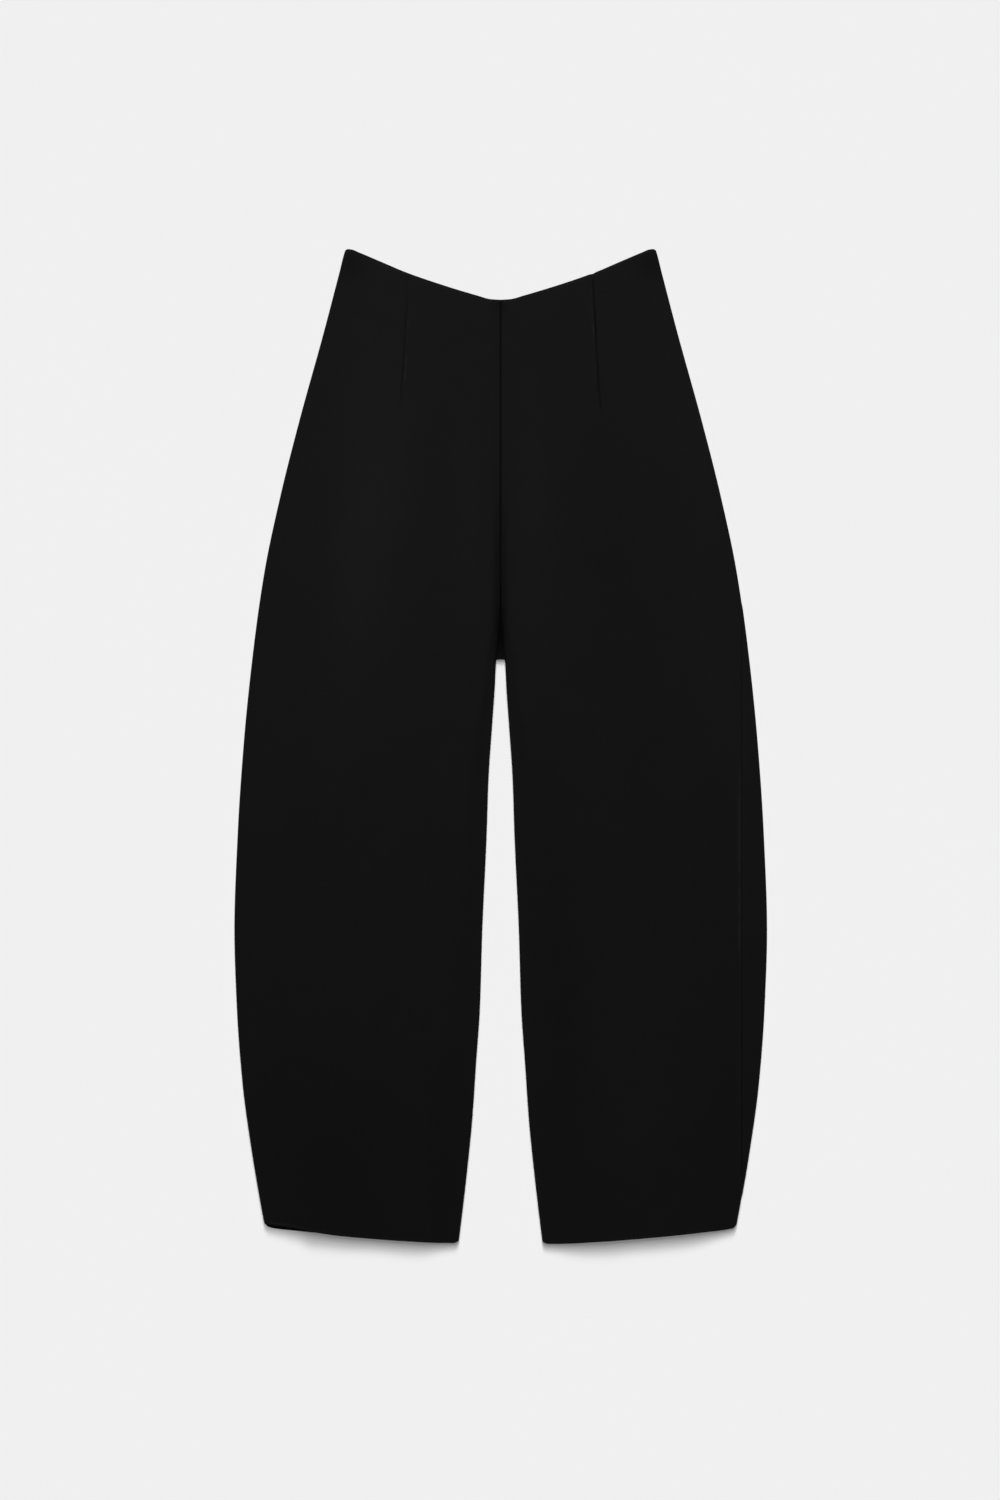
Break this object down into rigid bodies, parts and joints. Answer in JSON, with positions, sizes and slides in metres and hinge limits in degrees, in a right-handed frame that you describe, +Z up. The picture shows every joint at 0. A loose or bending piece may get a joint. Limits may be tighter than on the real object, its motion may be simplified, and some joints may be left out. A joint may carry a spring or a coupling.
{
  "type": "barrel leg trousers laid flat",
  "caption": "Black crepe trousers with curved barrel legs, front darts and a dipped waist edge, lying flat on their back with the front up.",
  "frame": {"origin": "middle of the garment's outline, on the surface it lies on", "axes": "+X to the viewer's right, which is the wearer's left side, +Y toward the waist, +Z up, out of the front"},
  "size_m": [0.564, 1.052, 0.0144],
  "materials": {
    "crepe": "matt black woven crepe with a faint pebbled grain",
    "zip_tape": "black woven tape",
    "zip_metal": "black lacquered die-cast metal"
  },
  "bodies": {
    "trousers": {"front_right": "crepe", "front_left": "crepe", "back_right": "crepe", "back_left": "crepe", "zip_tape_right": "zip_tape", "zip_tape_left": "zip_tape", "zip_slider": "zip_metal"},
    "pull_tab": {"zip_pull": "zip_metal"}
  },
  "joints": [
    {"name": "pull_tab_hinge", "type": "hinge", "parent": "trousers", "child": "pull_tab", "pos_m": [0, 0.4638, 0.0021], "axis": [1, 0, 0], "range_deg": [-3, 160]}
  ]
}
